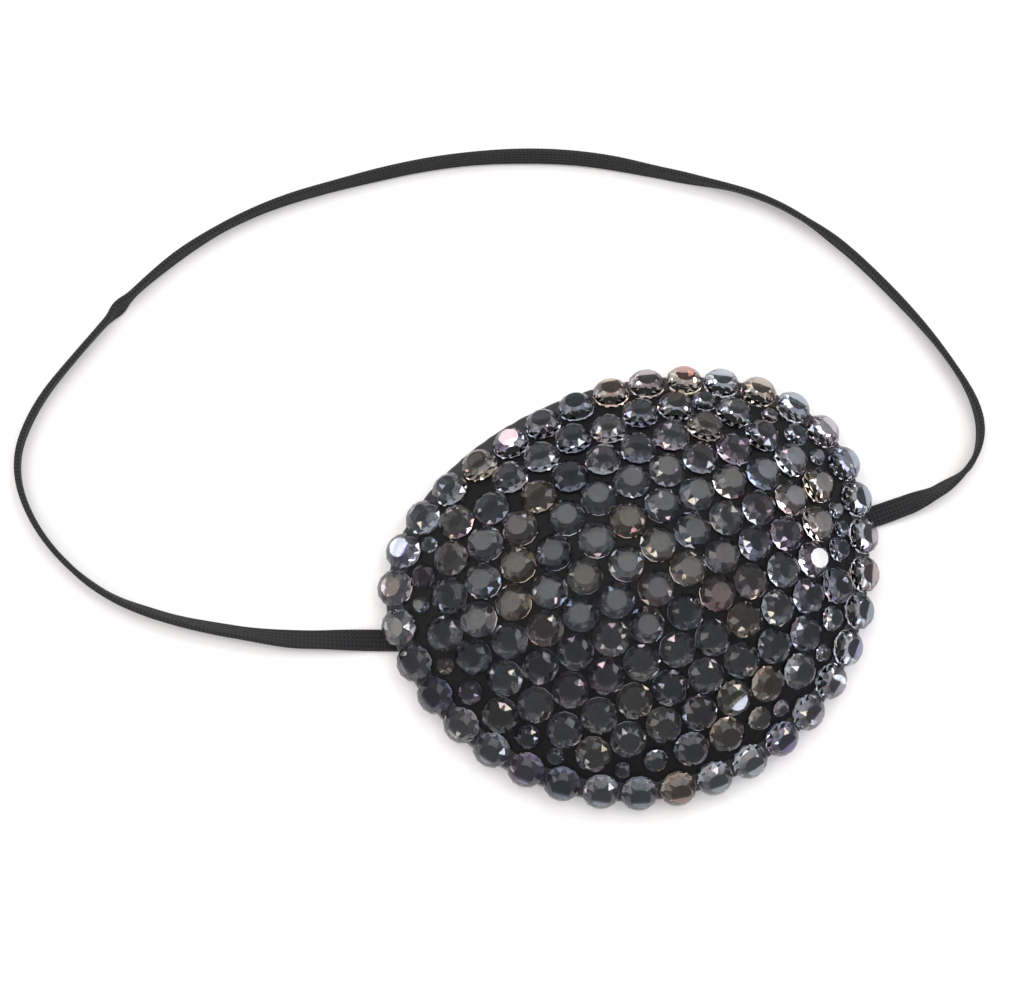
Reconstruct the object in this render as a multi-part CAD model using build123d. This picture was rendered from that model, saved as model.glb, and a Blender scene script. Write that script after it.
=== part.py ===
from build123d import *
import math
import os

# A domed eye patch covered in faceted flat-back stones, on a loop of flat elastic. Millimetres.
# The rim lies on z = 0 with the dome rising to +Z. +X is the long way across, +Y is the brow side.

# The outline of the sewn patch: two half ellipses that share their widest line.
HALF_WIDTH = 34.4
BROW_REACH = 23.0
CHEEK_REACH = 34.6
WIDEST_Y = 6.3

# The dome: how far it rises above its edge, and how much the rise shifts towards the cheek, per mm.
DOME_RISE = 9.0
DOME_LEAN = 0.0075

# The layers, from the stones down to the skin.
GLUE = 0.4
COVER = 0.4
SHELL = 1.0
LINING = 0.8
BINDING_EDGE = 0.4
BINDING_FOOT = 0.4
BINDING_WIDTH = 2.5

# The flat elastic, its sewn ends and what holds them.
STRAP_WIDTH = 3.0
STRAP_THICKNESS = 0.8
STRAP_LIFT = 0.1
STRAP_CLEARANCE = 0.15
STRAP_OUTSIDE = {"left": 1.6, "right": 2.8}
STRAP_INSIDE = 11.0
EXIT_SIDE_Y = {"left": 6.6, "right": -1.8}
EXIT_HEADING = {"left": 158.0, "right": -3.0}
TAB_SETBACK = 3.6
TAB_GAP = 0.3
TAB_LENGTH = 9.5
TAB_WIDTH = 8.0
TAB_THICKNESS = 0.6
TACK_LENGTH = 3.6
TACK_WIDTH = 0.6
TACK_THICKNESS = 0.25
TACK_PLACES = (5.6, 8.2)

# The felling stitches that hold the binding to the lining.
STITCH_LENGTH = 1.2
STITCH_WIDTH = 0.35
STITCH_THICKNESS = 0.2
STITCH_PITCH = 2.4
STITCH_GAP = 0.05
STITCH_FREE_ZONE = 7.0

# The stones.
LARGE_STONE = 5.0
SMALL_STONES = (3.4, 2.4)
STONE_FACETS = 8
GIRDLE_SHARE = 0.1
STONE_HEIGHT_SHARE = 0.36
TABLE_SHARE = 0.56
STONE_BED = 0.03
RIM_GAP = 0.28
RIM_PITCH = LARGE_STONE + RIM_GAP
RIM_OVERHANG = 1.0
BROW_INSET = 0.8
BROW_MIDDLE = 108.0
BROW_SPAN = 48.0
STONE_CLEARANCE = 0.1
STONE_PITCH = LARGE_STONE + STONE_CLEARANCE
ROW_NESTING = 0.4
ROW_PITCH = LARGE_STONE - ROW_NESTING
STONE_TURN = 137.5
RELAX_ROUNDS = 120
RELAX_REACH = 1.2
RELAX_AIM = 1.3
RELAX_SHARE = 0.5
GAP_REACH = 1.5
GAP_STEPS = 8
RIM_SQUEEZE = 0.5

# The free loop of elastic, as a round stand-in, along a route chosen to lie loosely behind the patch.
LOOP_DIAMETER = STRAP_WIDTH
LOOP_HEIGHT = LOOP_DIAMETER / 2
EXIT_RUN = 5.2
LOOP_ROUTE = [
    (-48.0, 12.0),
    (-55.4, 16.2),
    (-62.2, 21.2),
    (-69.0, 28.0),
    (-73.3, 38.0),
    (-73.9, 47.6),
    (-68.8, 54.9),
    (-59.6, 60.5),
    (-49.7, 65.4),
    (-38.9, 68.9),
    (-28.0, 70.3),
    (-16.2, 69.3),
    (-4.6, 67.2),
    (6.0, 64.0),
    (16.4, 59.5),
    (26.5, 52.6),
    (36.2, 45.0),
    (43.2, 36.6),
    (48.2, 26.6),
    (51.6, 16.2),
    (52.6, 6.8),
    (50.4, 1.5),
    (46.0, -1.5),
]
RUN_SHARE = 0.45

# Worked out from the sizes above.
LINING_DROP = GLUE + COVER + SHELL + LINING
EDGE_HEIGHT = LINING_DROP + BINDING_FOOT
BLOCK_DEPTH = 40.0
GRID_STEP = 2.5
GRID_MARGIN = 4.0
RIM_STEPS = 1440


def dome_height(x, y):
    """Height of the surface that the stones are glued to."""
    along = y - WIDEST_Y
    reach = BROW_REACH if along > 0 else CHEEK_REACH
    bowl = 1 - (x / HALF_WIDTH) ** 2 - (along / reach) ** 2
    return EDGE_HEIGHT + DOME_RISE * bowl * (1 - DOME_LEAN * along)


def dome_point(x, y):
    return Vector(x, y, dome_height(x, y))


def dome_normal(x, y):
    """Unit normal of that surface, from its slope along X and Y."""
    along = y - WIDEST_Y
    reach = BROW_REACH if along > 0 else CHEEK_REACH
    lean = 1 - DOME_LEAN * along
    bowl = 1 - (x / HALF_WIDTH) ** 2 - (along / reach) ** 2
    slope_x = -2 * DOME_RISE * lean * x / HALF_WIDTH**2
    slope_y = -2 * DOME_RISE * lean * along / reach**2 - DOME_RISE * DOME_LEAN * bowl
    return Vector(-slope_x, -slope_y, 1).normalized()


def edge_point(angle, inset):
    """A point of the outline, moved inwards by inset; angle is the ellipse angle in degrees."""
    turn = math.radians(angle)
    reach = BROW_REACH if math.sin(turn) > 0 else CHEEK_REACH
    x = (HALF_WIDTH - inset) * math.cos(turn)
    y = WIDEST_Y + (reach - inset) * math.sin(turn)
    return x, y


def on_patch(x, y, inset):
    along = y - WIDEST_Y
    reach = BROW_REACH if along > 0 else CHEEK_REACH
    return (x / (HALF_WIDTH - inset)) ** 2 + (along / (reach - inset)) ** 2 <= 1


def make_dome_sheet():
    """The stone surface as one smooth face, a little larger than the outline."""
    reach_x = HALF_WIDTH + GRID_MARGIN
    low_y = WIDEST_Y - CHEEK_REACH - GRID_MARGIN
    high_y = WIDEST_Y + BROW_REACH + GRID_MARGIN
    count_x = round(2 * reach_x / GRID_STEP)
    count_y = round((high_y - low_y) / GRID_STEP)
    rows = []
    for i in range(count_x + 1):
        x = -reach_x + 2 * reach_x * i / count_x
        rows.append([dome_point(x, low_y + (high_y - low_y) * j / count_y) for j in range(count_y + 1)])
    return Face.make_surface_from_array_of_points(rows, tol=0.005)


DOME_SHEET = make_dome_sheet()


def under_dome(drop):
    """Everything below the stone surface once it is lowered by drop."""
    block = Solid.extrude(DOME_SHEET, Vector(0, 0, -BLOCK_DEPTH))
    return block.moved(Location((0, 0, -drop)))


def column(inset, height=BLOCK_DEPTH):
    """An upright column of the patch's outline, moved inwards by inset."""
    centre = (0, WIDEST_Y)
    brow = EllipticalCenterArc(centre, HALF_WIDTH - inset, BROW_REACH - inset, 0, arc_size=180)
    cheek = EllipticalCenterArc(centre, HALF_WIDTH - inset, CHEEK_REACH - inset, 180, arc_size=180)
    return extrude(make_face([brow, cheek]), height)


def layer(inset, drop, thickness):
    """A layer of the dome between two depths below the stone surface."""
    return (column(inset) & under_dome(drop)) - under_dome(drop + thickness)


def exit_plane(side):
    """The frame of a strap exit: its origin on the outline, its X pointing outwards along the strap."""
    sign = -1 if side == "left" else 1
    along = EXIT_SIDE_Y[side] - WIDEST_Y
    reach = BROW_REACH if along > 0 else CHEEK_REACH
    x = sign * HALF_WIDTH * math.sqrt(1 - (along / reach) ** 2)
    return Location((x, EXIT_SIDE_Y[side], 0), (0, 0, EXIT_HEADING[side]))


def exit_box(side, start, stop, width, low, high):
    """A box along a strap, from start to stop inside the outline (negative is outside)."""
    box = Box(stop - start, width, high - low)
    place = Location((-(start + stop) / 2, 0, (low + high) / 2))
    return exit_plane(side) * place * box


def strap_notch(side):
    """The space that a strap end takes through the binding and the lining's edge."""
    width = STRAP_WIDTH + 2 * STRAP_CLEARANCE
    top = STRAP_LIFT + STRAP_THICKNESS + STRAP_CLEARANCE
    through = exit_box(side, -STRAP_OUTSIDE[side], TAB_SETBACK, width, -1, top)
    under = exit_box(side, -STRAP_OUTSIDE[side], STRAP_INSIDE, width, -1, EDGE_HEIGHT + DOME_RISE)
    return through + (under & under_dome(LINING_DROP))


def with_notches(piece):
    for side in ("left", "right"):
        piece = piece - strap_notch(side)
    return piece


def make_edge_binding():
    ring = column(0) - column(BINDING_WIDTH)
    stack = layer(BINDING_EDGE, GLUE, COVER + SHELL + LINING)
    return with_notches((ring & under_dome(0)) - stack)


def make_strap_end(side):
    """Flat where it leaves the rim, then lying against the lining."""
    flat_top = STRAP_LIFT + STRAP_THICKNESS
    flat = exit_box(side, -STRAP_OUTSIDE[side], STRAP_THICKNESS * 2, STRAP_WIDTH, STRAP_LIFT, flat_top)
    reach = exit_box(side, 0, STRAP_INSIDE, STRAP_WIDTH, STRAP_LIFT, EDGE_HEIGHT + DOME_RISE)
    bent = (reach & under_dome(LINING_DROP)) - under_dome(LINING_DROP + STRAP_THICKNESS)
    return flat + bent


def make_strap_tab(side, strap_end):
    stop = TAB_SETBACK + TAB_LENGTH
    pad = exit_box(side, TAB_SETBACK, stop, TAB_WIDTH, 0, EDGE_HEIGHT + DOME_RISE)
    depth = STRAP_THICKNESS + TAB_THICKNESS
    pad = (pad & under_dome(LINING_DROP)) - under_dome(LINING_DROP + depth)
    return (pad & column(BINDING_WIDTH + TAB_GAP)) - strap_end


def make_bar_tack(side):
    drop = LINING_DROP + STRAP_THICKNESS + TAB_THICKNESS
    bars = []
    for place in TACK_PLACES:
        bar = exit_box(side, place, place + TACK_WIDTH, TACK_LENGTH, 0, EDGE_HEIGHT + DOME_RISE)
        bar = (bar & under_dome(drop)) - under_dome(drop + TACK_THICKNESS)
        bars.append(bar.solids()[0])
    return Compound(children=bars)


def rim_angles(inset_at, pitch):
    """Ellipse angles that space points evenly round the outline, about pitch apart."""
    steps = RIM_STEPS
    ring = []
    for i in range(steps + 1):
        angle = 360 * i / steps
        ring.append(dome_point(*edge_point(angle, inset_at(angle))))
    lengths = [0.0]
    for before, after in zip(ring, ring[1:]):
        lengths.append(lengths[-1] + (after - before).length)
    count = round(lengths[-1] / pitch)
    angles = []
    at = 0
    for k in range(count):
        target = lengths[-1] * k / count
        while lengths[at] < target:
            at += 1
        angles.append(360 * at / steps)
    return angles


def make_binding_stitches():
    inset = BINDING_WIDTH + STITCH_GAP + STITCH_LENGTH / 2
    exits = [exit_plane(side).position for side in ("left", "right")]
    stitch = Box(STITCH_LENGTH, STITCH_WIDTH, STITCH_THICKNESS)
    stitches = []
    for angle in rim_angles(lambda angle: inset, STITCH_PITCH):
        x, y = edge_point(angle, inset)
        if min(math.hypot(x - end.X, y - end.Y) for end in exits) < STITCH_FREE_ZONE:
            continue
        outwards = Vector(x, y - WIDEST_Y, 0)
        depth = LINING_DROP + STITCH_GAP + STITCH_THICKNESS / 2
        place = Plane(dome_point(x, y) - Vector(0, 0, depth), x_dir=outwards, z_dir=dome_normal(x, y))
        stitches.append(place.location * stitch)
    return Compound(children=stitches)


def walk(x, y, step_x, step_y, length):
    """Moves over the dome from (x, y) by a length measured on its surface."""
    small = 0.1
    done = 0.0
    while done < length:
        ahead = (x + small * step_x, y + small * step_y)
        done += (dome_point(*ahead) - dome_point(x, y)).length
        x, y = ahead
    return x, y


def rim_inset(angle):
    """How far a rim stone's middle is inside the outline: it overhangs except along the brow."""
    away = min(abs(angle - BROW_MIDDLE) / BROW_SPAN, 1)
    brow_share = math.cos(math.pi / 2 * away) ** 2
    lap = RIM_OVERHANG - (RIM_OVERHANG + BROW_INSET) * brow_share
    x, y = edge_point(angle, 0)
    return LARGE_STONE / 2 * dome_normal(x, y).Z - lap


def grid_rows():
    """Places in straight rows along X, spaced on the dome's surface, as lists from the brow down."""
    starts = []
    for way in (1, -1):
        x, y = 0.0, 0.0
        if way < 0:
            x, y = walk(x, y, 0, way, ROW_PITCH)
        while on_patch(x, y, 0):
            starts.append(y)
            x, y = walk(x, y, 0, way, ROW_PITCH)
    rows = []
    for index, start_y in enumerate(sorted(starts, reverse=True)):
        row = []
        for way in (1, -1):
            first = STONE_PITCH / 2 if index % 2 else (0 if way > 0 else STONE_PITCH)
            x, y = walk(0, start_y, way, 0, first)
            while on_patch(x, y, 0):
                row.append((x, y))
                x, y = walk(x, y, way, 0, STONE_PITCH)
        rows.append(sorted(row))
    return rows


def stone_gap(one, other):
    """Clear distance between two stones (x, y, diameter, row) along the chord between their middles."""
    rise = dome_height(one[0], one[1]) - dome_height(other[0], other[1])
    chord = math.hypot(one[0] - other[0], one[1] - other[1], rise)
    return chord - (one[2] + other[2]) / 2


def relax(free, fixed):
    """Pushes free stones apart, and off the fixed ones, until they are STONE_CLEARANCE apart."""
    for _ in range(RELAX_ROUNDS):
        for i, stone in enumerate(free):
            push_x, push_y = 0.0, 0.0
            for other in fixed + free[:i] + free[i + 1 :]:
                if math.hypot(stone[0] - other[0], stone[1] - other[1]) > LARGE_STONE * RELAX_REACH:
                    continue
                short = STONE_CLEARANCE * RELAX_AIM - stone_gap(stone, other)
                if short > 0:
                    away = Vector(stone[0] - other[0], stone[1] - other[1], 0).normalized()
                    push_x += away.X * short * RELAX_SHARE
                    push_y += away.Y * short * RELAX_SHARE
            free[i] = (stone[0] + push_x, stone[1] + push_y, stone[2], stone[3])
    return free


def drop_crowded(free, fixed):
    """Takes out the most crowded stone until none is closer than half the clearance."""
    while True:
        worst, worst_gap = None, STONE_CLEARANCE / 2
        for i, stone in enumerate(free):
            gap = min(stone_gap(stone, other) for other in fixed + free[:i] + free[i + 1 :])
            if gap < worst_gap:
                worst, worst_gap = i, gap
        if worst is None:
            return free
        del free[worst]


def place_large_stones():
    """The rim row and the interior rows, as (x, y, diameter, row); row 0 is the rim."""
    rim = []
    for angle in rim_angles(rim_inset, RIM_PITCH):
        rim.append((*edge_point(angle, rim_inset(angle)), LARGE_STONE, 0))
    free = []
    for number, row in enumerate(grid_rows(), start=1):
        for x, y in row:
            stone = (x, y, LARGE_STONE, number)
            inside = on_patch(x, y, LARGE_STONE)
            if inside and min(stone_gap(stone, other) for other in rim) > -LARGE_STONE * RIM_SQUEEZE:
                free.append(stone)
    free = relax(free, rim)
    free = drop_crowded(free, rim)
    return rim, relax(free, rim)


def fill_gaps(placed, diameter):
    """Stones of one small size in the widest gaps that are left, taken from a fine grid."""
    spots = []
    step = diameter / GAP_STEPS
    reach = round(HALF_WIDTH / step)
    for i in range(-reach, reach + 1):
        for j in range(-reach, reach + 1):
            x, y = i * step, j * step
            spot = (x, y, diameter, 0)
            if not on_patch(x, y, diameter / 2):
                continue
            near = [s for s in placed if math.hypot(s[0] - x, s[1] - y) < LARGE_STONE * GAP_REACH]
            gap = min((stone_gap(spot, other) for other in near), default=LARGE_STONE)
            if gap > STONE_CLEARANCE / 2:
                spots.append((gap, spot))
    added = []
    for gap, spot in sorted(spots, key=lambda found: (-round(found[0], 3), found[1])):
        if all(stone_gap(spot, other) > STONE_CLEARANCE / 2 for other in added):
            added.append(spot)
    return added


def place_small_stones(large):
    small = []
    for diameter in SMALL_STONES:
        small += fill_gaps(large + small, diameter)
    return small


def make_stone(diameter):
    """A flat-back stone: an upright girdle, a ring of sloping facets and a flat table."""
    girdle = diameter * GIRDLE_SHARE
    height = diameter * STONE_HEIGHT_SHARE
    outline = RegularPolygon(diameter / 2, STONE_FACETS)
    table = Pos(0, 0, height) * RegularPolygon(diameter / 2 * TABLE_SHARE, STONE_FACETS)
    crown = loft([Pos(0, 0, girdle) * outline, table])
    return (extrude(outline, girdle) + crown).clean()


def set_stones(stones):
    """Stones glued down at their places, each turned a different way about its own axis."""
    pieces = []
    for index, (x, y, diameter, _) in enumerate(stones):
        normal = dome_normal(x, y)
        seat = Plane(dome_point(x, y) + normal * STONE_BED, z_dir=normal)
        shape = STONE_SHAPES[diameter]
        pieces.append(seat.location * Rotation(0, 0, STONE_TURN * index) * shape)
    return Compound(children=[piece.solids()[0] for piece in pieces])


STONE_SHAPES = {size: make_stone(size) for size in (LARGE_STONE, *SMALL_STONES)}


def loop_points():
    """The loop's route, straight out of the left strap end's face and straight into the right one's."""
    ends = {}
    for side in ("left", "right"):
        along = [exit_plane(side) * Pos(STRAP_OUTSIDE[side] + run, 0, 0) for run in (0, EXIT_RUN)]
        ends[side] = [(place.position.X, place.position.Y) for place in along]
    route = [*ends["left"], *LOOP_ROUTE, *reversed(ends["right"])]
    return [Vector(x, y, LOOP_HEIGHT) for x, y in route]


def make_elastic_strap():
    """The free loop: straight runs joined by tangent arcs, each as large as its runs allow."""
    points = loop_points()
    radii = []
    for before, at, after in zip(points, points[1:], points[2:]):
        turn = (at - before).get_angle(after - at)
        shorter = min((at - before).length, (after - at).length)
        radii.append(RUN_SHARE * shorter / math.tan(math.radians(turn / 2)))
    path = FilletPolyline(*points, radius=radii)
    print("loop radii", [round(radius, 1) for radius in radii])
    print("loop runs", [round((b - a).length, 1) for a, b in zip(points, points[1:])])
    section = Plane(points[0], z_dir=points[1] - points[0]) * Circle(LOOP_DIAMETER / 2)
    tube = sweep(section, path)
    print("loop length", path.length, "volume share", tube.volume / (section.area * path.length))
    return tube


def make_parts():
    rim, free = place_large_stones()
    small = place_small_stones(rim + free)
    print("stones: rim", len(rim), "rows", len(free), "small", len(small))
    parts = {
        "shell": with_notches(layer(BINDING_EDGE, GLUE + COVER, SHELL)),
        "front_cover": layer(BINDING_EDGE, GLUE, COVER),
        "back_lining": with_notches(layer(BINDING_EDGE, GLUE + COVER + SHELL, LINING)),
        "glue_layer": layer(BINDING_WIDTH, 0, GLUE),
        "edge_binding": make_edge_binding(),
        "binding_stitches": make_binding_stitches(),
        "elastic_strap": make_elastic_strap(),
        "rim_stones": set_stones(rim),
        "filler_stones": set_stones(small),
    }
    for side in ("left", "right"):
        strap_end = make_strap_end(side)
        parts["strap_end_" + side] = strap_end
        parts["strap_tab_" + side] = make_strap_tab(side, strap_end)
        parts["bar_tack_" + side] = make_bar_tack(side)
    numbers = sorted({stone[3] for stone in free})
    for place, number in enumerate(numbers, start=1):
        row = [stone for stone in free if stone[3] == number]
        parts[f"stone_row_{place:02d}"] = set_stones(row)
    return parts


os.makedirs("parts", exist_ok=True)
for name, piece in make_parts().items():
    export_step(piece, f"parts/{name}.step")
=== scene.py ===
# %% [markdown]
# An eye patch covered in faceted flat-back stones, on a loop of flat elastic.
# The structure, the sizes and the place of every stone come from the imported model, which is
# loaded first and never changed. This lesson then makes the soft pieces, the cut glass and the
# finishes around it. Everything is in metres, with the patch's rim on z = 0 and its dome upwards.

# %% Load the fixed frame
import math
import random

import bpy
from mathutils import Matrix, Vector


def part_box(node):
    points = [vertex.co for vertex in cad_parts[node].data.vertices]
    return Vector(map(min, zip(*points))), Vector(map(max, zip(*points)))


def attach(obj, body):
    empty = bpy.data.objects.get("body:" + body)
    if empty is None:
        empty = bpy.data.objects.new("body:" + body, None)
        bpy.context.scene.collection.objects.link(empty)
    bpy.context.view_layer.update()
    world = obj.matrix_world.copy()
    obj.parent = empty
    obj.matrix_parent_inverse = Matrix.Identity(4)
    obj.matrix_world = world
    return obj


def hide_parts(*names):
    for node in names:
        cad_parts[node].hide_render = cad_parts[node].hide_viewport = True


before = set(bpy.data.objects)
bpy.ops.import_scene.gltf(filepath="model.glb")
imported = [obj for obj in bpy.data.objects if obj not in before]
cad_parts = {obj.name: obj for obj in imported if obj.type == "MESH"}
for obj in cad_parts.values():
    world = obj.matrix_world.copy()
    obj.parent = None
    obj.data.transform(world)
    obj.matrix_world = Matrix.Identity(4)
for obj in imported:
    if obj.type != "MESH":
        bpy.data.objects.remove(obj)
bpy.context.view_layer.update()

MM = 0.001

# %% [markdown]
# The camera looks almost straight down on the patch, leaning a little to its cheek side, so the
# far rim stones are seen more on edge than the near ones. A camera is turned by three directions:
# where it looks, what is to its right and what is up in its picture. The picture's up direction is
# turned from the patch's +Y, because the patch lies slanted in it.

# %% Place the camera
LOOK_AT = Vector((-11.9, 20.0, 0)) * MM
CAMERA_TILT = math.radians(11)
TILT_HEADING = math.radians(226)
PICTURE_TURN = math.radians(22)
CAMERA_DISTANCE = 336 * MM
LENS = 85


def aim(thing, forward, up_hint):
    """Turns a camera so that it looks along forward with up_hint upwards."""
    forward = forward.normalized()
    right = forward.cross(up_hint).normalized()
    up = right.cross(forward)
    turn = Matrix((right, up, -forward)).transposed()
    thing.rotation_mode = "QUATERNION"
    thing.rotation_quaternion = turn.to_quaternion()


lean = math.sin(CAMERA_TILT)
to_camera = Vector((lean * math.cos(TILT_HEADING), lean * math.sin(TILT_HEADING), math.cos(CAMERA_TILT)))
camera = bpy.data.objects.new("camera", bpy.data.cameras.new("camera"))
bpy.context.scene.collection.objects.link(camera)
bpy.context.scene.camera = camera
camera.data.lens = LENS
camera.data.clip_start = 10 * MM
camera.location = LOOK_AT + to_camera * CAMERA_DISTANCE
aim(camera, -to_camera, Vector((math.sin(PICTURE_TURN), math.cos(PICTURE_TURN), 0)))
print("camera at", [round(v, 3) for v in camera.location])

# %% [markdown]
# Operators act on whatever is selected, and the loaded nodes start selected. So every step first
# clears the selection, and then selects exactly what it is going to work on.


# %% Small helpers for selecting, copying and finishing pieces
MERGE_DISTANCE = 0.001 * MM


def clear_selection():
    if bpy.context.object and bpy.context.object.mode != "OBJECT":
        bpy.ops.object.mode_set(mode="OBJECT")
    bpy.ops.object.select_all(action="DESELECT")


def select_only(piece):
    clear_selection()
    piece.select_set(True)
    bpy.context.view_layer.objects.active = piece


def join_all(pieces):
    """Joins pieces into the first of them."""
    clear_selection()
    for piece in pieces:
        piece.select_set(True)
    bpy.context.view_layer.objects.active = pieces[0]
    if len(pieces) > 1:
        bpy.ops.object.join()
    return pieces[0]


def discard(piece):
    mesh = piece.data
    bpy.data.objects.remove(piece)
    bpy.data.meshes.remove(mesh)


def merged_copy(name, node):
    """A copy of a node's loose triangles with shared points made one, left in edit mode."""
    piece = bpy.data.objects.new(name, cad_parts[node].data.copy())
    bpy.context.scene.collection.objects.link(piece)
    select_only(piece)
    bpy.ops.object.mode_set(mode="EDIT")
    bpy.ops.mesh.select_all(action="SELECT")
    bpy.ops.mesh.remove_doubles(threshold=MERGE_DISTANCE)
    return piece


def new_piece(name, vertices, faces):
    """A piece from its own points and faces, for shapes that follow a path."""
    mesh = bpy.data.meshes.new(name)
    mesh.from_pydata(vertices, [], faces)
    piece = bpy.data.objects.new(name, mesh)
    bpy.context.scene.collection.objects.link(piece)
    return piece


def finish_piece(piece, name, material, slot, *nodes):
    """Names a piece, gives it its finish and body, and lets it stand for its nodes."""
    piece.name = name
    piece.data.materials.clear()
    piece.data.materials.append(material)
    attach(piece, "root")
    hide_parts(*nodes)
    print(name, "faces", len(piece.data.polygons))
    return piece


# %% [markdown]
# A finish is a node tree. Patterns are worked out from the piece's own coordinates in metres, so
# their scale is a real size: a noise scale of 1 / 0.0004 has grains of about 0.4 mm.


# %% Helpers for finishes
def linear(hex_colour):
    """An sRGB hex colour as the linear numbers that a shader takes."""
    parts = [int(hex_colour[i : i + 2], 16) / 255 for i in (1, 3, 5)]
    return (*[p / 12.92 if p <= 0.04045 else ((p + 0.055) / 1.055) ** 2.4 for p in parts], 1.0)


def add(material, kind, settings=None, **links):
    """Adds a node, sets its properties or inputs by name and links sockets to its inputs."""
    node = material.node_tree.nodes.new(kind)
    for key, value in (settings or {}).items():
        if hasattr(node, key):
            setattr(node, key, value)
        else:
            node.inputs[int(key) if key.isdigit() else key].default_value = value
    for key, socket in links.items():
        name = key.strip("_").replace("_", " ")
        material.node_tree.links.new(socket, node.inputs[int(name) if name.isdigit() else name])
    return node


def new_finish(name, **settings):
    """A material with one Principled shader, whose plain values are set by socket name."""
    material = bpy.data.materials.new(name)
    material.use_nodes = True
    shader = material.node_tree.nodes["Principled BSDF"]
    for key, value in settings.items():
        shader.inputs[key.replace("_", " ")].default_value = value
    return material, shader


def feed(material, shader, **links):
    """Links sockets to the shader's inputs by name."""
    for key, socket in links.items():
        material.node_tree.links.new(socket, shader.inputs[key.replace("_", " ")])


def ramp(material, factor, *stops):
    """A colour ramp through (position, hex colour) stops."""
    node = add(material, "ShaderNodeValToRGB", Fac=factor)
    elements = node.color_ramp.elements
    while len(elements) < len(stops):
        elements.new(0.5)
    for element, (position, colour) in zip(elements, stops):
        element.position = position
        element.color = linear(colour)
    return node.outputs["Color"]


def bump(material, height, distance):
    """Surface relief whose height is distance metres."""
    node = add(material, "ShaderNodeBump", {"Distance": distance, "Strength": 1.0}, Height=height)
    return node.outputs["Normal"]


def noise(material, coordinates, size, detail=2.0):
    """Noise whose grains are about size metres."""
    settings = {"Scale": 1 / size, "Detail": detail}
    return add(material, "ShaderNodeTexNoise", settings, Vector=coordinates).outputs["Fac"]


def multiply_add(material, value, factor, addend):
    settings = {"operation": "MULTIPLY_ADD", "1": factor}
    return add(material, "ShaderNodeMath", settings, _0=value, _2=addend).outputs[0]


def between(material, value, low, high):
    """A value from 0 to 1 spread between two others."""
    settings = {"To Min": low, "To Max": high}
    return add(material, "ShaderNodeMapRange", settings, Value=value).outputs[0]


def object_place(material):
    return add(material, "ShaderNodeTexCoord").outputs["Object"]


# %% [markdown]
# The strap is a flat braided elastic, 3 mm wide and 0.8 mm thick. It lies loosely in a wide loop,
# flat where it leaves the patch and standing on its edge round the bends, with one small twist.
# Its real path is a smooth curve, so the route's points are the control points of a NURBS spline,
# and the flat section is carried along the points read from it. They start from the rigid tube's
# route, and lie up to about 3 mm outside it.

# %% The strap's route
STRAP_WIDTH = 3.0 * MM
STRAP_THICKNESS = 0.8 * MM
ROUTE_HEIGHT = 1.5 * MM
FLAT_CLEARANCE = 0.1 * MM
STRAP_ROUTE = [
    (-0.03588, 0.00720),
    (-0.04070, 0.00915),
    (-0.04800, 0.01200),
    (-0.05540, 0.01620),
    (-0.06260, 0.02090),
    (-0.06980, 0.02750),
    (-0.07450, 0.03780),
    (-0.07460, 0.04790),
    (-0.06880, 0.05500),
    (-0.05960, 0.06050),
    (-0.04980, 0.06580),
    (-0.03900, 0.06940),
    (-0.02800, 0.07070),
    (-0.01610, 0.06980),
    (-0.00430, 0.06830),
    (0.00650, 0.06540),
    (0.01710, 0.06100),
    (0.02760, 0.05420),
    (0.03840, 0.04730),
    (0.04550, 0.03800),
    (0.05030, 0.02750),
    (0.05400, 0.01680),
    (0.05560, 0.00650),
    (0.05230, 0.00010),
    (0.04620, -0.00190),
    (0.04143, -0.00222),
    (0.03624, -0.00195),
]


def spline_points(route, height):
    """Points along the smooth curve that has the route as its control points."""
    curve = bpy.data.curves.new("route", "CURVE")
    curve.dimensions = "3D"
    curve.resolution_u = 24
    spline = curve.splines.new("NURBS")
    spline.points.add(len(route) - 1)
    for point, (x, y) in zip(spline.points, route):
        point.co = (x, y, height, 1)
    spline.order_u = 3
    spline.use_endpoint_u = True
    holder = bpy.data.objects.new("route", curve)
    mesh = bpy.data.meshes.new_from_object(holder)
    points = [vertex.co.copy() for vertex in mesh.vertices]
    bpy.data.objects.remove(holder)
    bpy.data.meshes.remove(mesh)
    return points


def lengths_along(points):
    lengths = [0.0]
    for before, after in zip(points, points[1:]):
        lengths.append(lengths[-1] + (after - before).length)
    return lengths


strap_line = spline_points(STRAP_ROUTE, ROUTE_HEIGHT)
strap_lengths = lengths_along(strap_line)
print("strap length", round(strap_lengths[-1], 4), "points", len(strap_line))

# %% [markdown]
# How far the elastic leans from lying flat changes along the loop. It is given in degrees at a few
# shares of the loop's length, and eased between them.

# %% The strap's lean along its length
STRAP_LEAN = [
    (0.0, 0),
    (0.04, 30),
    (0.08, 57),
    (0.12, 68),
    (0.16, 82),
    (0.18, 89),
    (0.26, 92),
    (0.32, 98),
    (0.36, 94),
    (0.39, 87),
    (0.42, 92),
    (0.48, 86),
    (0.52, 78),
    (0.56, 76),
    (0.60, 69),
    (0.64, 72),
    (0.68, 84),
    (0.72, 103),
    (0.76, 106),
    (0.785, 94),
    (0.82, 95),
    (0.88, 106),
    (0.92, 93),
    (0.94, 99),
    (0.965, 60),
    (0.985, 15),
    (1.0, 0),
]
TWIST_SHARE = 0.347
TWIST_SPAN = 0.006
TWIST_LEAN = 24


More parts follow.
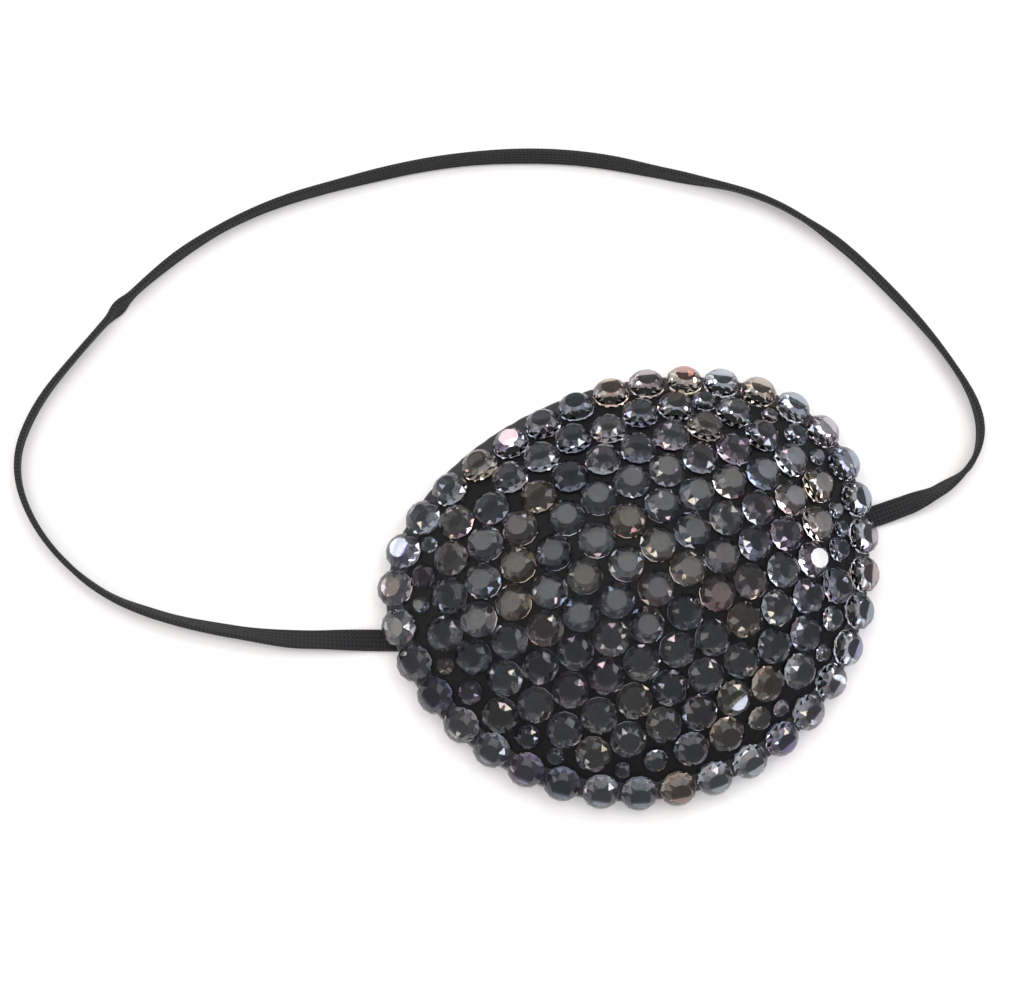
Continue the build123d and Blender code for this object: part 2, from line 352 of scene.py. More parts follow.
def lean_at(share):
    """Degrees from lying flat at a share of the loop's length."""
    for (low, low_lean), (high, high_lean) in zip(STRAP_LEAN, STRAP_LEAN[1:]):
        if share <= high:
            part = (share - low) / (high - low)
            part = part * part * (3 - 2 * part)
            lean_now = low_lean + (high_lean - low_lean) * part
            break
    twist = math.exp(-(((share - TWIST_SHARE) / TWIST_SPAN) ** 2))
    return lean_now - TWIST_LEAN * twist


# %% [markdown]
# The elastic's section is a row of five rubber cords wrapped in yarn, so both faces are ribbed. The
# section's points are worked out once and carried along the line. UV holds the place across and
# along in metres, so that the braid's pattern follows every bend.

# %% The strap's section and how it is carried along a line
RIBS = 5
POINTS_PER_RIB = 5
GROOVE_DEPTH = 0.12 * MM
GROOVE_SHARPNESS = 0.6
LEAST_EDGE = 0.35
SECTION_STEP = 0.45 * MM
SMOOTH_BELOW = math.radians(50)


def band_section():
    """Points (across, out of the face) once round the ribbed section."""
    top = []
    count = RIBS * POINTS_PER_RIB
    for i in range(count + 1):
        across = i / count
        rib = abs(math.sin(math.pi * RIBS * across)) ** GROOVE_SHARPNESS
        edge = min(across, 1 - across) * RIBS * 2
        roundness = math.sqrt(max(0.0, 1 - (1 - min(edge, 1)) ** 2))
        half = (STRAP_THICKNESS / 2 - GROOVE_DEPTH * (1 - rib)) * max(roundness, LEAST_EDGE)
        top.append(((across - 0.5) * STRAP_WIDTH, half))
    return top + [(across, -half) for across, half in reversed(top)]


def evenly(points, step):
    """The same line with its points about step apart, and how far apart they came out."""
    lengths = lengths_along(points)
    count = max(2, round(lengths[-1] / step))
    out = []
    at = 0
    for i in range(count + 1):
        target = lengths[-1] * i / count
        while at < len(points) - 2 and lengths[at + 1] < target:
            at += 1
        part = (target - lengths[at]) / (lengths[at + 1] - lengths[at])
        out.append(points[at].lerp(points[at + 1], min(part, 1)))
    return out, lengths[-1] / count


def make_band(name, centres, sides, step):
    """A closed ribbed band: centres are its middle line, sides the direction across it."""
    section = band_section()
    size = len(section)
    vertices, faces = [], []
    for i, (centre, side) in enumerate(zip(centres, sides)):
        ahead = centres[min(i + 1, len(centres) - 1)] - centres[max(i - 1, 0)]
        side = (side - ahead * side.dot(ahead) / ahead.length_squared).normalized()
        out = ahead.cross(side).normalized()
        vertices += [centre + side * across + out * half for across, half in section]
    for i in range(len(centres) - 1):
        for j in range(size):
            k = (j + 1) % size
            faces.append((i * size + k, i * size + j, (i + 1) * size + j, (i + 1) * size + k))
    faces.append(tuple(range(size)))
    faces.append(tuple(reversed(range(len(vertices) - size, len(vertices)))))
    band = new_piece(name, vertices, faces)
    uv = band.data.uv_layers.new(name="band_uv")
    for loop in band.data.loops:
        ring, place = divmod(loop.vertex_index, size)
        uv.data[loop.index].uv = (section[place][0], ring * step)
    select_only(band)
    bpy.ops.object.mode_set(mode="EDIT")
    bpy.ops.mesh.select_all(action="SELECT")
    bpy.ops.mesh.normals_make_consistent(inside=False)
    bpy.ops.object.mode_set(mode="OBJECT")
    bpy.ops.object.shade_smooth_by_angle(angle=SMOOTH_BELOW)
    return band


# %% Make the loop
def make_loop():
    points, step = evenly(strap_line, SECTION_STEP)
    centres, sides = [], []
    for i, point in enumerate(points):
        ahead = points[min(i + 1, len(points) - 1)] - points[max(i - 1, 0)]
        across = Vector((-ahead.y, ahead.x, 0)).normalized()
        lean_now = math.radians(lean_at(i / (len(points) - 1)))
        side = across * math.cos(lean_now) + Vector((0, 0, 1)) * math.sin(lean_now)
        on_edge, flat = math.sin(lean_now), abs(math.cos(lean_now))
        half_height = (STRAP_WIDTH * on_edge + STRAP_THICKNESS * flat) / 2
        centres.append(Vector((point.x, point.y, half_height + FLAT_CLEARANCE)))
        sides.append(side)
    return make_band("elastic_loop", centres, sides, step)


loop = make_loop()

# %% [markdown]
# Braided elastic is covered in fine black yarn that runs round each cord in slanted turns. The
# chevrons are one set of slanted waves in UV space, folded over at the middle of each rib. The yarn
# is nylon: charcoal black and nearly matt. Its IOR is below real nylon's 1.53, so that it stays dark.

# %% Finish: black nylon braid
BRAID_PITCH = 0.55 * MM
BRAID_SLANT = 1.2
RIB_WIDTH = STRAP_WIDTH / RIBS


def braided_nylon():
    material, shader = new_finish("black_nylon_braid", Roughness=0.7, IOR=1.4, Sheen_Weight=0.06)
    shader.inputs["Sheen Roughness"].default_value = 0.4
    uv = add(material, "ShaderNodeUVMap", {"uv_map": "band_uv"}).outputs["UV"]
    parts = add(material, "ShaderNodeSeparateXYZ", Vector=uv)
    fold = {"operation": "PINGPONG", "1": RIB_WIDTH / 2}
    across = add(material, "ShaderNodeMath", fold, _0=parts.outputs["X"])
    slanted = multiply_add(material, across.outputs[0], BRAID_SLANT, parts.outputs["Y"])
    per_metre = 2 * math.pi / BRAID_PITCH
    turns = add(material, "ShaderNodeMath", {"operation": "MULTIPLY", "1": per_metre}, _0=slanted)
    yarn = add(material, "ShaderNodeMath", {"operation": "SINE"}, _0=turns.outputs[0])
    span = {"From Min": -1.0, "From Max": 1.0}
    height = add(material, "ShaderNodeMapRange", span, Value=yarn.outputs[0])
    mixed = multiply_add(material, noise(material, uv, 0.12 * MM, 3), 0.35, height.outputs[0])
    colour = ramp(material, mixed, (0.1, "#08080a"), (0.6, "#141417"), (1.0, "#242428"))
    feed(material, shader, Base_Color=colour, Normal=bump(material, mixed, 0.05 * MM))
    return material


nylon = braided_nylon()
finish_piece(loop, "elastic_loop", nylon, "elastic", "elastic_strap")

# %% [markdown]
# Inside the patch, each end of the elastic turns up against the lining. The lining's height is
# found by casting a ray up at it, so the band's middle line follows the real surface.

# %% The sewn ends of the elastic
END_STEP = 0.35 * MM
END_SETBACK = 0.5 * MM
END_CLEARANCE = 0.02 * MM
END_SMOOTHING = 3
SIDE_REACH = 1.2 * MM
RAY_START = -10 * MM


def lining_height(x, y):
    """Underside of the lining above a point, or None outside it."""
    start = Vector((x, y, RAY_START))
    found, place, _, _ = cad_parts["back_lining"].ray_cast(start, Vector((0, 0, 1)))
    return place.z if found else None


def make_strap_end(side):
    node = "strap_end_" + side
    start, ahead = (0, 1) if side == "left" else (-1, -2)
    face = Vector((*STRAP_ROUTE[start], 0))
    inwards = (face - Vector((*STRAP_ROUTE[ahead], 0))).normalized()
    across = Vector((-inwards.y, inwards.x, 0))
    low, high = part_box(node)
    inner = low.x if side == "right" else high.x
    inside = max(abs(inner - face.x) / abs(inwards.x) - END_SETBACK, 0)
    count = round(inside / END_STEP)
    lowest = STRAP_THICKNESS / 2 + FLAT_CLEARANCE
    centres, sides = [], []
    for i in range(count + 1):
        spot = face + inwards * inside * i / count
        heights = []
        for way in (-1, 0, 1):
            edge = spot + across * SIDE_REACH * way
            found = lining_height(edge.x, edge.y)
            under = lowest if found is None else found - STRAP_THICKNESS / 2 - END_CLEARANCE
            heights.append(max(lowest, under))
        centres.append(Vector((spot.x, spot.y, min(heights[1], (heights[0] + heights[2]) / 2))))
        sides.append(across * 2 * SIDE_REACH + Vector((0, 0, heights[2] - heights[0])))
    for _ in range(END_SMOOTHING):
        for i in range(1, len(centres) - 1):
            centres[i].z = (centres[i - 1].z + 2 * centres[i].z + centres[i + 1].z) / 4
    band = make_band(node, centres, sides, END_STEP)
    finish_piece(band, "sewn_end_" + side, nylon, "elastic", node)


for side in ("left", "right"):
    make_strap_end(side)

# %% [markdown]
# The soft pieces start from copies of their plain solids. A copy is merged, remeshed into small
# even faces and smoothed, which rounds its cut edges as folded cloth is rounded. Its points are
# then moved to pucker it where stitches pull.


# %% Soft copies of the sewn pieces
def soft_copy(node, voxel, smoothing):
    """A copy of a node, merged, remeshed evenly and smoothed."""
    piece = merged_copy(node + "_soft", node)
    bpy.ops.object.mode_set(mode="OBJECT")
    remesh = piece.modifiers.new("remesh", "REMESH")
    remesh.mode = "VOXEL"
    remesh.voxel_size = voxel
    smooth = piece.modifiers.new("smooth", "SMOOTH")
    smooth.factor = 0.5
    smooth.iterations = smoothing
    for modifier in ("remesh", "smooth"):
        bpy.ops.object.modifier_apply(modifier=modifier)
    bpy.ops.object.shade_smooth()
    return piece


def shift_points(piece, shift):
    """Moves each point by what shift gives for its place and normal, all read beforehand."""
    normals = [vertex.normal.copy() for vertex in piece.data.vertices]
    places = [vertex.co.copy() for vertex in piece.data.vertices]
    for place, normal in zip(places, normals):
        place += shift(place, normal)
    piece.data.vertices.foreach_set("co", [value for place in places for value in place])
    piece.data.update()


WIDEST_WITHIN = 0.02 * MM
binding_low, binding_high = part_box("edge_binding")
binding_points = [vertex.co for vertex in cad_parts["edge_binding"].data.vertices]
widest = [point.y for point in binding_points if point.x > binding_high.x - WIDEST_WITHIN]
WIDEST_Y = sum(widest) / len(widest)
HALF_WIDTH = (binding_high.x - binding_low.x) / 2
BROW_REACH = binding_high.y - WIDEST_Y
CHEEK_REACH = WIDEST_Y - binding_low.y


def round_the_rim(point):
    """Angle round the outline, and how far out a point is: 1 on the outline."""
    along = point.y - WIDEST_Y
    reach = BROW_REACH if along > 0 else CHEEK_REACH
    across, along = point.x / HALF_WIDTH, along / reach
    return math.atan2(along, across), math.hypot(across, along)


def waves_at(angle, waves):
    """Uneven waves round the outline, each given as (count, size, shift)."""
    return sum(size * math.sin(angle * count + shift) for count, size, shift in waves)


print("widest line", round(WIDEST_Y, 4), "reaches", round(BROW_REACH, 4), round(CHEEK_REACH, 4))

# %% [markdown]
# The binding is a strip of satin folded over the edge and felled down inside. Satin bias tape
# puckers a little between its stitches, so its points move in and out in small uneven waves.

# %% The edge binding
PUCKER_DEPTH = 0.025 * MM
PUCKERS_FROM = 0.5 * MM
PUCKER_WAVES = ((83, 1.0, 0.0), (47, 0.6, 1.3), (131, 0.4, 0.4))


def pucker(place, normal):
    """Small folds over the front and the edge, and none underneath, where the rim rests."""
    angle, _ = round_the_rim(place)
    if place.z <= PUCKERS_FROM:
        return Vector()
    return normal * PUCKER_DEPTH * waves_at(angle, PUCKER_WAVES)


binding = soft_copy("edge_binding", 0.3 * MM, 6)
shift_points(binding, pucker)

# %% [markdown]
# Satin is a weave of long floating yarns: black, with a soft gloss. Its yarns are
# about 0.12 mm apart, drawn at 0.25 mm so that they show.


# %% Finish: black satin
# A wave texture of scale 1 repeats every 0.314 m, so this over a spacing is its scale.
WAVE_LENGTH = 0.314


def weave_waves(material, coordinates, axis, spacing, distortion, detail, detail_scale):
    """Parallel waves that are spacing metres apart."""
    settings = {
        "bands_direction": axis,
        "Scale": WAVE_LENGTH / spacing,
        "Distortion": distortion,
        "Detail": detail,
        "Detail Scale": detail_scale,
    }
    return add(material, "ShaderNodeTexWave", settings, Vector=coordinates).outputs["Fac"]


def black_satin(name, yarn):
    material, shader = new_finish(name, Roughness=0.48, IOR=1.5, Sheen_Weight=0.2)
    shader.inputs["Sheen Roughness"].default_value = 0.35
    place = object_place(material)
    slanted = add(material, "ShaderNodeMapping", {"Rotation": (0, 0, math.radians(45))}, Vector=place)
    waves = [weave_waves(material, slanted.outputs[0], axis, yarn, 0.6, 1.0, 3.0) for axis in "XY"]
    product = {"operation": "MULTIPLY"}
    weave = add(material, "ShaderNodeMath", product, _0=waves[0], _1=waves[1]).outputs[0]
    cloudy = noise(material, place, 3 * MM)
    shade = multiply_add(material, weave, 0.5, cloudy)
    colour = ramp(material, shade, (0.2, "#101013"), (0.7, "#1d1d21"), (1.0, "#2a2a2f"))
    rough = between(material, cloudy, 0.38, 0.6)
    feed(material, shader, Base_Color=colour, Roughness=rough, Normal=bump(material, weave, 0.04 * MM))
    return material


satin = black_satin("black_satin_bias_tape", 0.25 * MM)
finish_piece(binding, "bias_binding", satin, "binding", "edge_binding")

# %% [markdown]
# The front cover is the same satin, pulled over the shell and hidden by the adhesive but for a narrow
# band at the brow. The lining is a brushed knit that lies against the eyelid: soft, matt, and
# gathered a little where the binding catches it.

# %% The front cover and the lining
GATHER_DEPTH = 0.16 * MM
GATHER_START = 0.72
GATHER_WAVES = ((39, 1.0, 0.0), (61, 0.7, 2.0))


def gather(place, normal):
    """Small folds near the edge of the lining's free face, growing and then held by the binding."""
    angle, out = round_the_rim(place)
    hold = min(max(0.0, (out - GATHER_START) / (1 - GATHER_START)), 1.0)
    wave = waves_at(angle, GATHER_WAVES)
    return Vector((0, 0, GATHER_DEPTH * wave * hold * (1 - hold) if normal.z < 0 else 0))


cover = soft_copy("front_cover", 0.4 * MM, 4)
finish_piece(cover, "satin_cover", black_satin("black_satin_cover", 0.3 * MM), "cover", "front_cover")

lining = soft_copy("back_lining", 0.4 * MM, 4)
shift_points(lining, gather)


def brushed_knit():
    material, shader = new_finish("black_brushed_knit", Roughness=0.9, IOR=1.5, Sheen_Weight=0.5)
    shader.inputs["Sheen Roughness"].default_value = 0.6
    place = object_place(material)
    wales = weave_waves(material, place, "X", 0.6 * MM, 1.5, 2.0, 4.0)
    fibres = noise(material, place, 0.25 * MM, 6)
    pile = multiply_add(material, wales, 0.4, fibres)
    colour = ramp(material, pile, (0.3, "#151517"), (0.7, "#26262a"), (1.0, "#37373c"))
    feed(material, shader, Base_Color=colour, Normal=bump(material, pile, 0.12 * MM))
    return material


knit = brushed_knit()
finish_piece(lining, "knit_lining", knit, "lining", "back_lining")

# %% [markdown]
# A pressed felt tab covers each sewn end, so that it doesn't scratch. Felt has no weave: its look
# is all short tangled fibres.


# %% The felt tabs
def pressed_felt():
    material, shader = new_finish("black_pressed_felt", Roughness=0.95, IOR=1.5, Sheen_Weight=0.6)
    shader.inputs["Sheen Roughness"].default_value = 0.7
    place = object_place(material)
    tangle = noise(material, place, 0.3 * MM, 8)
    lumps = noise(material, place, 1.2 * MM, 3)
    pile = multiply_add(material, lumps, 0.6, tangle)
    colour = ramp(material, pile, (0.45, "#1b1b1e"), (0.8, "#2d2d31"), (1.0, "#45454a"))
    feed(material, shader, Base_Color=colour, Normal=bump(material, pile, 0.15 * MM))
    return material


felt = pressed_felt()
for side in ("left", "right"):
    tab = soft_copy("strap_tab_" + side, 0.22 * MM, 8)
    finish_piece(tab, "felt_tab_" + side, felt, "felt", "strap_tab_" + side)

# %% [markdown]
# Every stitch and every stone is a separate solid of its node. Each one's place is read back from
# the frame: a copy of the node is merged and separated into its loose parts, and the flat plane
# with the most area tells which way a part faces.


# %% Read the place of each small solid
def loose_parts(node):
    """A node's separate solids, as temporary objects."""
    merged_copy("loose", node)
    bpy.ops.mesh.separate(type="LOOSE")
    bpy.ops.object.mode_set(mode="OBJECT")
    parts = list(bpy.context.selected_objects)
    return sorted(parts, key=lambda part: tuple(round(v, 6) for v in part.data.vertices[0].co))


def seats_of(node):
    """(middle of its flat back, direction it faces, radius) for each solid of a stone node."""
    seats = []
    for part in loose_parts(node):
        planes = {}
        for face in part.data.polygons:
            key = tuple(round(v, 2) for v in face.normal)
            planes.setdefault(key, []).append(face)
        back = max(planes.values(), key=lambda faces: sum(face.area for face in faces))
        area = sum(face.area for face in back)
        middle = sum((face.center * face.area for face in back), Vector()) / area
        facing = -sum((face.normal * face.area for face in back), Vector()).normalized()
        corners = [part.data.vertices[i].co for face in back for i in face.vertices]
        seats.append((middle, facing, max((corner - middle).length for corner in corners)))
        discard(part)
    return seats


# %% [markdown]
# A flat-back stone is pressed glass, cut with a flat table and a ring of facets. A real one is also
# silvered on its back. That silvering is not modelled: each stone is a closed body of plain glass. A
# twelve-sided cylinder is the girdle, and its top is extruded twice, each time drawn in and turned
# by half a facet, so that the crown is two rings of triangles.

# %% Cut one stone
FACETS = 12
STONE_RADIUS = 2.5 * MM
GIRDLE_HEIGHT = 0.42 * MM
SHOULDER_RADIUS = 2.08 * MM
SHOULDER_HEIGHT = 1.08 * MM
TABLE_RADIUS = 1.36 * MM
TABLE_HEIGHT = 1.76 * MM
LEVEL = 0.95
UPRIGHT = 0.05


def raise_top(height, from_height, radius, from_radius):
    """Extrudes the selected top up to a height, drawn in to a radius and turned half a facet."""
    bpy.ops.mesh.extrude_region_move(TRANSFORM_OT_translate={"value": (0, 0, height - from_height)})
    share = radius / from_radius
    bpy.ops.transform.resize(value=(share, share, 1), center_override=(0, 0, height))
    bpy.ops.transform.rotate(value=math.pi / FACETS, orient_axis="Z", center_override=(0, 0, height))


def cut_stone():
    clear_selection()
    bpy.ops.mesh.primitive_cylinder_add(
        vertices=FACETS, radius=STONE_RADIUS, depth=GIRDLE_HEIGHT, location=(0, 0, GIRDLE_HEIGHT / 2)
    )
    bpy.ops.object.transform_apply(location=True)
    stone = bpy.context.object
    bpy.ops.object.mode_set(mode="EDIT")
    bpy.ops.mesh.select_all(action="DESELECT")
    bpy.ops.object.mode_set(mode="OBJECT")
    for face in stone.data.polygons:
        face.select = face.normal.z > LEVEL
    bpy.ops.object.mode_set(mode="EDIT")
    bpy.ops.mesh.select_mode(type="FACE")
    raise_top(SHOULDER_HEIGHT, GIRDLE_HEIGHT, SHOULDER_RADIUS, STONE_RADIUS)
    raise_top(TABLE_HEIGHT, SHOULDER_HEIGHT, TABLE_RADIUS, SHOULDER_RADIUS)
    bpy.ops.mesh.select_all(action="SELECT")
    bpy.ops.object.mode_set(mode="OBJECT")
    for face in stone.data.polygons:
        face.select = UPRIGHT < face.normal.z < LEVEL
    bpy.ops.object.mode_set(mode="EDIT")
    bpy.ops.mesh.quads_convert_to_tris(quad_method="SHORTEST_DIAGONAL")
    bpy.ops.mesh.select_all(action="SELECT")
    bpy.ops.mesh.normals_make_consistent(inside=False)
    bpy.ops.object.mode_set(mode="OBJECT")
    return stone


stone = cut_stone()
print("one stone has", len(stone.data.polygons), "faces")

# %% [markdown]
# The glass is smoky grey crystal. No two stones match: each has its own tone. A few facets are
# tinted warm or violet, a painted colour glint that stands in for the glass's fire. Both are numbers
# stored on the faces, which the glass turns into colour.


# %% Finish: grey crystal
def grey_crystal():
    material, shader = new_finish(
        "grey_crystal_pressed_glass", Transmission_Weight=1.0, IOR=1.54, Roughness=0.015
    )
    tone = add(material, "ShaderNodeAttribute", {"attribute_name": "stone_tone"}).outputs["Fac"]
    painted_fire_share = add(material, "ShaderNodeAttribute", {"attribute_name": "painted_fire_tint"}).outputs["Fac"]
    body = ramp(
        material,
        tone,
        (0.0, "#939cb0"),
        (0.3, "#b0b8c6"),
        (0.55, "#c6ccd6"),
        (0.8, "#d6dbe2"),
        (0.93, "#d3c9b6"),
        (1.0, "#aaa5cc"),
    )
    # Painted colour glint: a few facets are tinted warm or violet in place of the glass's fire.
    painted_fire = ramp(
        material,
        painted_fire_share,
        (0.0, "#ffffff"),
        (0.72, "#ffffff"),
        (0.8, "#ffc9bd"),
        (0.87, "#fff0c4"),
        (0.93, "#c9ccff"),
        (1.0, "#ffb0c4"),
    )
    tint = {"data_type": "RGBA", "blend_type": "MULTIPLY", "0": 1.0}
    mixed = add(material, "ShaderNodeMix", tint, _6=body, _7=painted_fire)
    feed(material, shader, Base_Color=mixed.outputs[2])
    return material


crystal = grey_crystal()

# %% [markdown]
# Hand-set stones never sit quite level, and that is why neighbours catch the light differently. Each
# copy is turned about its own axis and tipped by a few degrees, from a seeded draw, so that the patch
# looks the same each time. The stones are drawn a little larger than their solids, to close the gaps.

# %% Set the stones
SETTING = random.Random(20)
USUAL_TIP = math.radians(1.75)
BED_LIFT = 0.1 * MM
STONE_FILL = 1.03


def set_stone(seat):
    middle, facing, radius = seat
    mesh = stone.data.copy()
    size = radius / STONE_RADIUS * STONE_FILL
    turn = Matrix.Rotation(SETTING.uniform(0, 2 * math.pi), 4, "Z")
    tip = Matrix.Rotation(SETTING.gauss(0, USUAL_TIP), 4, "X")
    face = facing.to_track_quat("Z", "Y").to_matrix().to_4x4()
    seated = Matrix.Translation(middle + facing * BED_LIFT) @ face
    mesh.transform(seated @ turn @ tip @ Matrix.Scale(size, 4))
    tone = SETTING.random()
    tones = mesh.attributes.new("stone_tone", "FLOAT", "FACE")
    # Each facet draws whether it takes a painted colour glint tint.
    painted_fire_tints = mesh.attributes.new("painted_fire_tint", "FLOAT", "FACE")
    for face_index in range(len(mesh.polygons)):
        tones.data[face_index].value = tone
        painted_fire_tints.data[face_index].value = SETTING.random()
    placed = bpy.data.objects.new("placed_stone", mesh)
    bpy.context.scene.collection.objects.link(placed)
    return placed


def set_row(node, name):
    row = join_all([set_stone(seat) for seat in seats_of(node)])
    finish_piece(row, name, crystal, "stone", node)


stone_nodes = sorted(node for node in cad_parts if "stone" in node)
for node in stone_nodes:
    set_row(node, "crystal_" + node)
bpy.data.objects.remove(stone)

# %% [markdown]
# The adhesive is a black gel, set as a dull film with a slightly uneven surface. Its IOR is below a
# real gel's 1.46, so that the gaps between the stones stay nearly black. The stiffener inside is
# moulded foam, black and matt.


# %% Finishes: adhesive film and moulded foam
def black_adhesive():
    material, shader = new_finish("black_gel_adhesive", Roughness=0.5, IOR=1.3)
    place = object_place(material)
    waves = noise(material, place, 0.9 * MM, 4)
    colour = ramp(material, waves, (0.3, "#020203"), (0.7, "#060609"))
    rough = between(material, waves, 0.45, 0.7)
    feed(material, shader, Base_Color=colour, Roughness=rough, Normal=bump(material, waves, 0.15 * MM))
    return material


def moulded_foam():
    material, shader = new_finish("black_moulded_foam", Roughness=0.85, IOR=1.5)
    place = object_place(material)
    cells = add(material, "ShaderNodeTexVoronoi", {"Scale": 1 / (0.35 * MM)}, Vector=place).outputs["Distance"]
    colour = ramp(material, cells, (0.0, "#0e0e10"), (0.8, "#232326"))
    feed(material, shader, Base_Color=colour, Normal=bump(material, cells, 0.05 * MM))
    return material


def give_finish(node, material):
    """A node whose shape is right keeps it, and gets a better finish."""
    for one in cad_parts[node].material_slots:
        one.material = material


give_finish("glue_layer", black_adhesive())
give_finish("shell", moulded_foam())

# %% [markdown]
# The stitches are short lengths of twisted thread, pulled into the cloth at both ends. One is
# modelled as a cylinder whose ends are drawn in, and copied to every stitch's place.


# %% Model one stitch
STITCH_RADIUS = 0.16 * MM
STITCH_LENGTH = 1.3 * MM
STITCH_SIDES = 8
BODY_SHARE = 0.7
END_TAPER = 0.45
END_DIP = 0.5
END_FACE = 0.9


def model_stitch():
    clear_selection()
    bpy.ops.mesh.primitive_cylinder_add(
        vertices=STITCH_SIDES,
        radius=STITCH_RADIUS,
        depth=STITCH_LENGTH * BODY_SHARE,
        rotation=(0, math.pi / 2, 0),
    )
    bpy.ops.object.transform_apply(rotation=True)
    stitch = bpy.context.object
    bpy.ops.object.mode_set(mode="EDIT")
    bpy.ops.mesh.select_all(action="DESELECT")
    shift = STITCH_LENGTH * (1 - BODY_SHARE) / 2
    dip = shift * END_DIP
    for way in (-1, 1):
        bpy.ops.object.mode_set(mode="OBJECT")
        for face in stitch.data.polygons:
            face.select = face.normal.x * way > END_FACE
        bpy.ops.object.mode_set(mode="EDIT")
        bpy.ops.mesh.select_mode(type="FACE")
        bpy.ops.mesh.extrude_region_move(TRANSFORM_OT_translate={"value": (way * shift, 0, -dip)})
        end = way * STITCH_LENGTH / 2
        bpy.ops.transform.resize(value=(1, END_TAPER, END_TAPER), center_override=(end, 0, -dip))
    bpy.ops.object.mode_set(mode="OBJECT")
    bpy.ops.object.shade_smooth()
    return stitch


def twisted_thread():
    material, shader = new_finish("black_polyester_thread", Roughness=0.5, IOR=1.5, Sheen_Weight=0.3)
    place = object_place(material)
    plies = noise(material, place, 0.1 * MM, 2)
    colour = ramp(material, plies, (0.3, "#1b1b1e"), (0.7, "#3d3d42"))
    feed(material, shader, Base_Color=colour, Normal=bump(material, plies, 0.03 * MM))
    return material


stitch = model_stitch()
thread = twisted_thread()


# %% Copy it to every stitch
def lay_stitches(name, places, *nodes):
    """places are (middle, along, out, length share)."""
    laid = []
    for middle, along, out, share in places:
        mesh = stitch.data.copy()
        side = out.cross(along).normalized()
        along = side.cross(out).normalized()
        turn = Matrix((along, side, out.normalized())).transposed().to_4x4()
        mesh.transform(Matrix.Translation(middle) @ turn @ Matrix.Diagonal((share, 1, 1, 1)))
        placed = bpy.data.objects.new("placed_stitch", mesh)
        bpy.context.scene.collection.objects.link(placed)
        laid.append(placed)
    finish_piece(join_all(laid), name, thread, "thread", *nodes)


def middle_and_out(part):
    """Middle of a small flat solid, and which way is out of the eye side of it."""
    points = [vertex.co.copy() for vertex in part.data.vertices]
    normal = max(part.data.polygons, key=lambda face: face.area).normal.copy()
    return sum(points, Vector()) / len(points), -normal if normal.z > 0 else normal


FELLING_SLANT = 0.45


def felling_places():
    places = []
    for part in loose_parts("binding_stitches"):
        middle, out = middle_and_out(part)
        outwards = Vector((middle.x, middle.y - WIDEST_Y, 0))
        sideways = Vector((0, 0, 1)).cross(outwards).normalized()
        slanted = outwards.normalized() + FELLING_SLANT * sideways
        places.append((middle, slanted, out, 1.0))
        discard(part)
    return places


lay_stitches("felling_stitches", felling_places(), "binding_stitches")

# %% [markdown]
# A bar tack is a short dense block of zigzag stitches across the strap. Each of its two bars is a
# row of close parallel stitches along the bar's length.

# %% The bar tacks
TACK_PITCH = 0.3 * MM
TACK_LIFT = 0.08 * MM
TACK_STITCH_SHARE = 0.75
ZIGZAG = 0.35


def tack_places(node):
    places = []
    for part in loose_parts(node):
        middle, out = middle_and_out(part)
        points = [vertex.co.copy() for vertex in part.data.vertices]
        far = max(points, key=lambda point: (point - middle).length)
        near = max(points, key=lambda point: (point - far).length)
        bar = (far - near).normalized()
        count = round((far - near).length / TACK_PITCH)
        across = out.cross(bar)
        for i in range(count):
            place = near.lerp(far, (i + 0.5) / count)
            place = middle + bar * (place - middle).dot(bar)
            zigzag = across + bar * (ZIGZAG if i % 2 else -ZIGZAG)
            places.append((place + out * TACK_LIFT, zigzag, out, TACK_STITCH_SHARE))
        discard(part)
    return places


for side in ("left", "right"):
    lay_stitches("zigzag_tack_" + side, tack_places("bar_tack_" + side), "bar_tack_" + side)
bpy.data.objects.remove(stitch)

# %% [markdown]
# A plain pale table and soft light. Cut glass shows what is around it: the flat tables throw back the
# large dim panels as an even grey, and the slanted facets throw back small bright lamps as sparks.

# %% Floor
FLOOR_SIZE = 3.0
clear_selection()
bpy.ops.mesh.primitive_plane_add(size=FLOOR_SIZE, location=(0, 0, 0))
floor = bpy.context.object
floor.name = "floor"


def pale_table():
    material, shader = new_finish("pale_matt_table", Roughness=0.8)
    place = object_place(material)
    cloudy = noise(material, place, 0.2)
    feed(material, shader, Base_Color=ramp(material, cloudy, (0.3, "#f4f4f4"), (0.7, "#f8f8f8")))
    return material


floor.data.materials.append(pale_table())


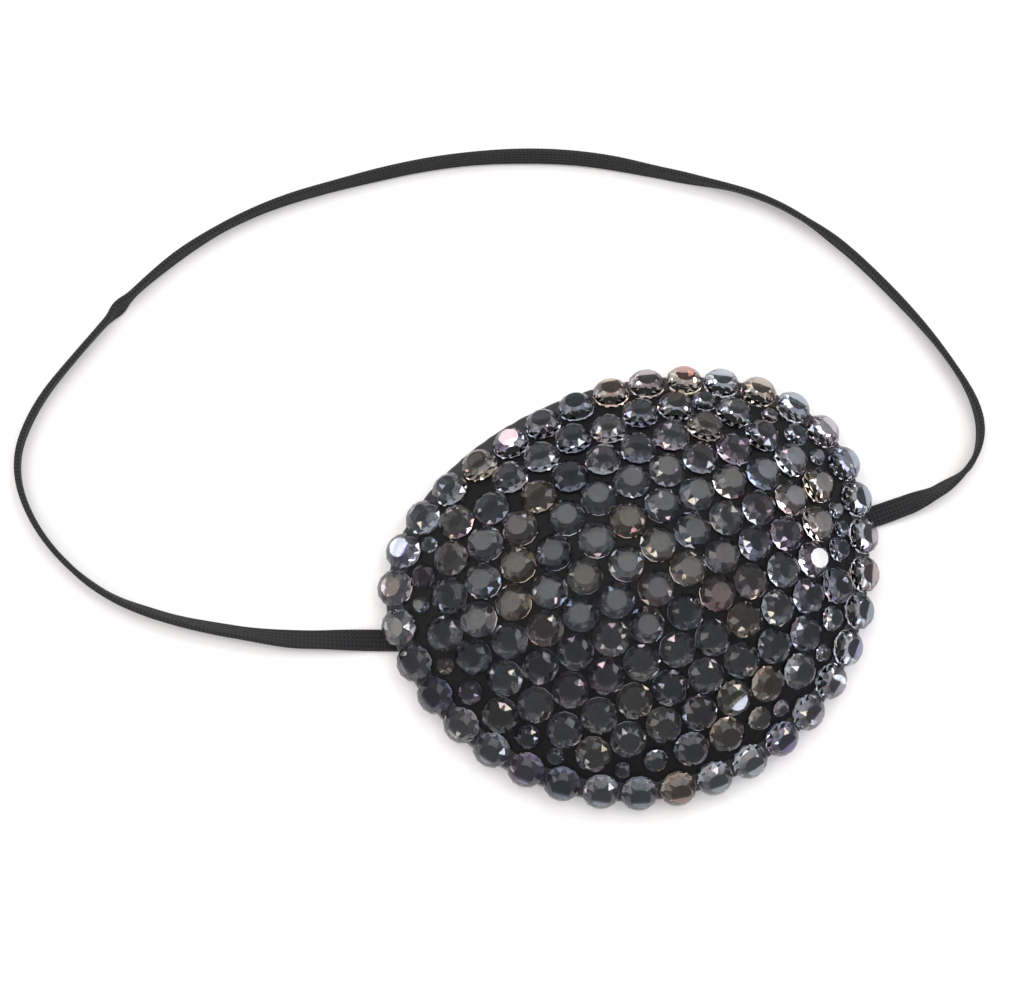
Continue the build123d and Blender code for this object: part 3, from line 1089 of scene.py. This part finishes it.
# %% Lights
def panel(name, place, aim_at, size, power, colour):
    light = bpy.data.lights.new(name, "AREA")
    light.shape = "RECTANGLE"
    light.size, light.size_y = size
    light.energy = power
    light.color = linear(colour)[:3]
    holder = bpy.data.objects.new(name, light)
    bpy.context.scene.collection.objects.link(holder)
    holder.location = place
    holder.rotation_mode = "QUATERNION"
    holder.rotation_quaternion = (Vector(aim_at) - Vector(place)).to_track_quat("-Z", "Y")
    return holder


PATCH_MIDDLE = (0, 0, 0)
panel("overhead", (0.1, 0.35, 1.0), PATCH_MIDDLE, (1.4, 1.0), 6.5, "#fffdf9")
panel("temple_side", (0.9, 0.2, 0.5), PATCH_MIDDLE, (0.5, 0.5), 2.0, "#f1f5ff")
panel("nose_side", (-0.85, 0.35, 0.5), PATCH_MIDDLE, (0.5, 0.5), 2.0, "#fff6ea")

# Small bare lamps give the facets something hard and bright to throw back.
SPARKLE_LAMPS = 24
SPARKLE_DISTANCE = 0.8
SPARKLE_SIZE = 0.06
SPARKLE_POWER = 0.2
SPARKLE_SPREAD = 0.8
SPARKLE_COLOURS = ("#fff0dc", "#ffffff", "#e4ecff", "#ffe3ea")
GOLDEN_ANGLE = math.radians(137.5)
for index in range(SPARKLE_LAMPS):
    angle = GOLDEN_ANGLE * index
    down = math.acos(1 - SPARKLE_SPREAD * (index + 1) / SPARKLE_LAMPS)
    sideways = math.sin(down)
    towards = Vector((sideways * math.cos(angle), sideways * math.sin(angle), math.cos(down)))
    panel(
        "sparkle_%02d" % (index + 1),
        towards * SPARKLE_DISTANCE,
        PATCH_MIDDLE,
        (SPARKLE_SIZE, SPARKLE_SIZE),
        SPARKLE_POWER,
        SPARKLE_COLOURS[index % len(SPARKLE_COLOURS)],
    )

world = bpy.data.worlds.new("soft_studio")
world.use_nodes = True
bpy.context.scene.world = world
world.node_tree.nodes["Background"].inputs["Color"].default_value = linear("#e9ebee")
world.node_tree.nodes["Background"].inputs["Strength"].default_value = 0.6
bpy.context.scene.view_settings.view_transform = "Standard"
